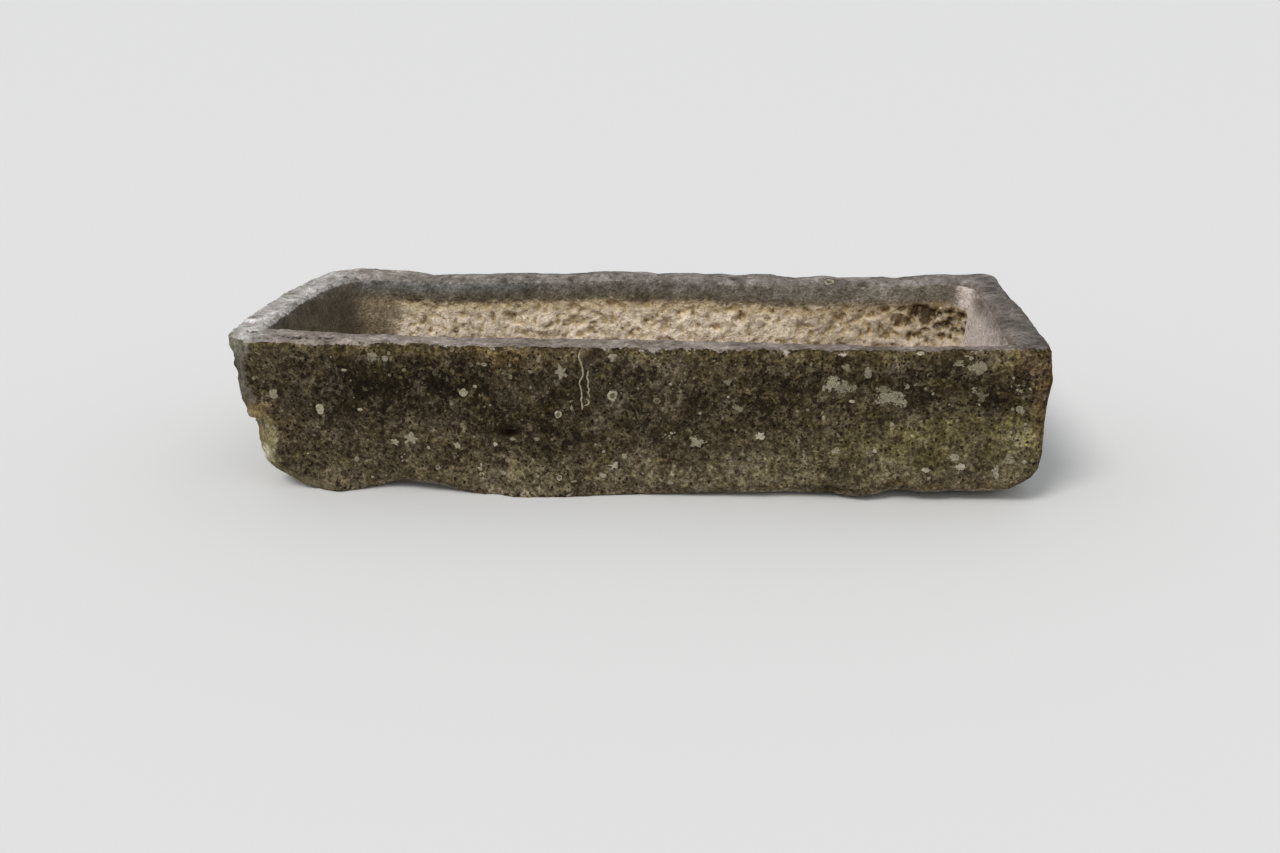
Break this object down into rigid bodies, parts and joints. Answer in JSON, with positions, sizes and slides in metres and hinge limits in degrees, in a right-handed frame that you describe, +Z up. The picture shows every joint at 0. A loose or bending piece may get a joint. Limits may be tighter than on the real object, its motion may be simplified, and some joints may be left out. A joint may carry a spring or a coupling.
{
  "type": "stone trough planter",
  "caption": "Long low trough hewn from one block of weathered limestone, hollowed for planting, with a drain through its floor and a loose tapered oak bung.",
  "frame": {"origin": "on the ground under the middle of the block's bounding box", "axes": "+X along the trough to the right as the picture shows it, +Y from the long side that the picture shows to the far one, +Z up"},
  "size_m": [2.197, 0.8256, 0.4318],
  "materials": {
    "limestone": "hewn, weathered, lichen-spotted outside; pale and pitted inside",
    "oak": "whittled, water-stained, unvarnished"
  },
  "bodies": {
    "trough": {"trough_body": "limestone"},
    "bung": {"drain_bung": "oak"}
  },
  "joints": [
    {"name": "bung_lift", "type": "slide", "parent": "trough", "child": "bung", "axis": [0, 0, 1], "range_m": [0, 0.46]}
  ]
}
